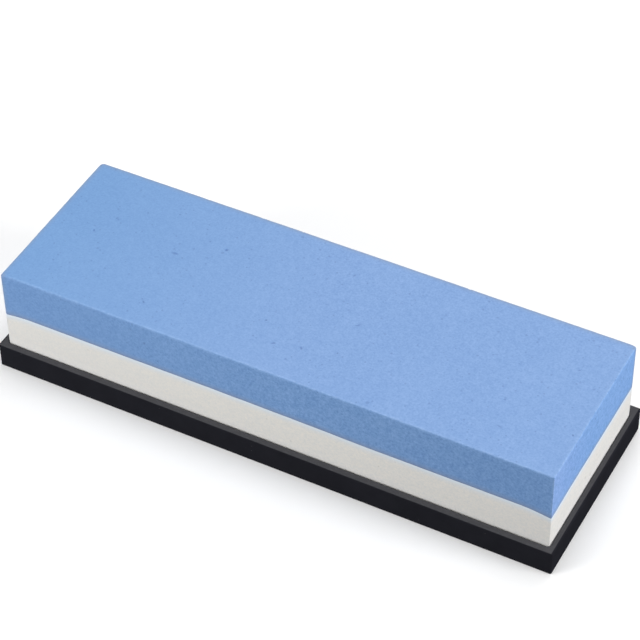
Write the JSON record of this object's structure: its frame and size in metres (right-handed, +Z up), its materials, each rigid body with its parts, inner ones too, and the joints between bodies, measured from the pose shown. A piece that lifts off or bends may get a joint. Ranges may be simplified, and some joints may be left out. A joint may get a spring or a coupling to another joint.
{
  "type": "two-grit sharpening whetstone in a non-slip silicone tray",
  "caption": "Rectangular water stone of a coarse slab bonded to a fine slab, seated loose in a shallow moulded silicone tray, for sharpening knives and carving tools.",
  "frame": {"origin": "middle of the tray's underside, on the bench", "axes": "+X along the stone, +Y across it towards the far long side, +Z up through both slabs"},
  "size_m": [0.1842, 0.0642, 0.0365],
  "materials": {
    "coarse_abrasive": "fine sandy matte, mottled blue",
    "epoxy_film": "cured clear epoxy stained by the slabs",
    "fine_abrasive": "very fine matte, warm off-white",
    "tray_silicone": "matte moulded silicone, near black"
  },
  "bodies": {
    "tray": {"silicone_tray": "tray_silicone"},
    "stone": {"coarse_grit_slab": "coarse_abrasive", "epoxy_bond_line": "epoxy_film", "fine_grit_slab": "fine_abrasive"}
  },
  "joints": [
    {"name": "stone_lift", "type": "slide", "parent": "tray", "child": "stone", "axis": [0, 0, 1], "range_m": [0, 0.05]}
  ]
}
